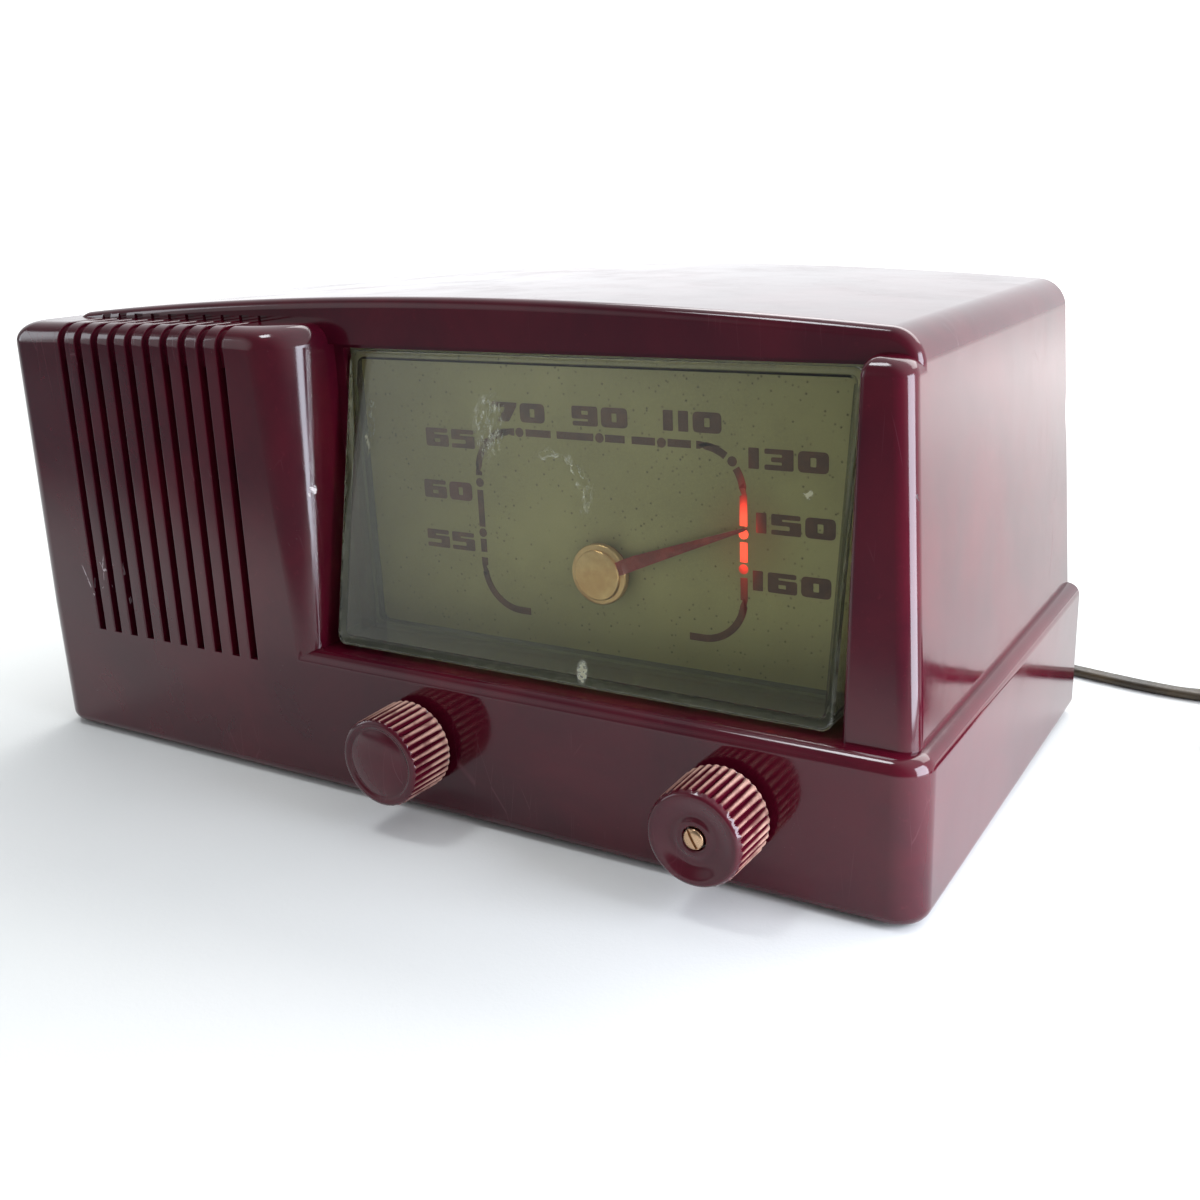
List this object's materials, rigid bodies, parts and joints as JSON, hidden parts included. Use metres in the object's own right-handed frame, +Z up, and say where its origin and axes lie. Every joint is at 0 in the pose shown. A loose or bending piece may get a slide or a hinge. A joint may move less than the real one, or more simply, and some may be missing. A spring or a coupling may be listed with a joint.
{
  "type": "bakelite table radio",
  "caption": "Moulded bakelite table radio with a louvred speaker column, a leaning dial window with a turning pointer, two fluted knobs and a coiled mains lead.",
  "frame": {"origin": "on the table, under the middle of the radio's box without its mains lead", "axes": "+Z up, the front panel faces -Y, +X to the right of a person facing the front"},
  "size_m": [0.4472, 0.2162, 0.1455],
  "materials": {
    "bakelite": "deep maroon phenolic, polished, with faint mottling and fine scratches",
    "fibreboard": "pressed brown fibreboard",
    "steel": "plated sheet and screw stock",
    "rubber": "matte",
    "acrylic": "clear with a faint green cast, lightly scratched",
    "dial_paint": "olive-gold speckled lacquer with maroon scale markings",
    "red_celluloid": "translucent red",
    "brass": "satin",
    "tube_glass": "clear glass",
    "aluminium": "satin",
    "drive_cord": "braided cord",
    "grille_cloth": "dark woven cloth",
    "cone_paper": "felted paper",
    "cast_iron": "dark lacquered",
    "phenolic": "brown moulded phenolic",
    "antenna_wire": "enamelled wire bonded to paper",
    "lead_rubber": "dark olive-brown twin lead"
  },
  "bodies": {
    "cabinet": {"cabinet_shell": "bakelite", "rear_cover": "fibreboard", "speaker_baffle": "fibreboard", "cover_screw_1": "steel", "cover_screw_2": "steel", "cover_screw_3": "steel", "cover_screw_4": "steel", "chassis_screw_1": "steel", "chassis_screw_2": "steel", "chassis": "steel", "gang_frame": "steel", "speaker_basket": "steel", "volume_control": "steel", "foot_1": "rubber", "foot_2": "rubber", "foot_3": "rubber", "foot_4": "rubber", "strain_relief": "rubber", "dial_lens": "acrylic", "dial_plate": "dial_paint", "dial_backing": "red_celluloid", "lamp_socket": "brass", "tuning_bushing": "brass", "plug_blade_1": "brass", "plug_blade_2": "brass", "dial_lamp": "tube_glass", "converter_tube": "tube_glass", "amplifier_tube": "tube_glass", "detector_tube": "tube_glass", "output_tube": "tube_glass", "rectifier_tube": "tube_glass", "gang_stator": "aluminium", "if_transformer_1": "aluminium", "if_transformer_2": "aluminium", "filter_capacitor": "aluminium", "dial_cord": "drive_cord", "grille_cloth": "grille_cloth", "speaker_cone": "cone_paper", "speaker_magnet": "cast_iron", "output_transformer": "cast_iron", "converter_tube_socket": "phenolic", "amplifier_tube_socket": "phenolic", "detector_tube_socket": "phenolic", "output_tube_socket": "phenolic", "rectifier_tube_socket": "phenolic", "coil_tie": "phenolic", "plug_body": "phenolic", "loop_antenna": "antenna_wire", "mains_lead": "lead_rubber", "mains_lead_coil": "lead_rubber", "mains_lead_tail": "lead_rubber"},
    "dial_drive": {"gang_rotor": "aluminium", "dial_drum": "aluminium", "pointer_hub": "brass", "pointer": "red_celluloid"},
    "tuning_control": {"tuning_shaft": "steel", "tuning_knob": "bakelite", "tuning_knob_screw": "brass"},
    "volume_rotor": {"volume_knob": "bakelite", "volume_shaft": "aluminium"}
  },
  "joints": [
    {"name": "dial_turn", "type": "hinge", "parent": "cabinet", "child": "dial_drive", "pos_m": [0.056, -0.03, 0.0722], "axis": [0, 1, 0], "range_deg": [-158, 20]},
    {"name": "tuning_knob_turn", "type": "hinge", "parent": "cabinet", "child": "tuning_control", "pos_m": [0.1043, -0.03, 0.0232], "axis": [0, 1, 0], "range_deg": [-1264, 160]},
    {"name": "volume_knob_turn", "type": "hinge", "parent": "cabinet", "child": "volume_rotor", "pos_m": [0.0069, -0.03, 0.0232], "axis": [0, 1, 0], "range_deg": [-120, 180]}
  ],
  "couplings": [
    {"joint": "tuning_knob_turn", "follows": "dial_turn", "ratio": 8}
  ]
}
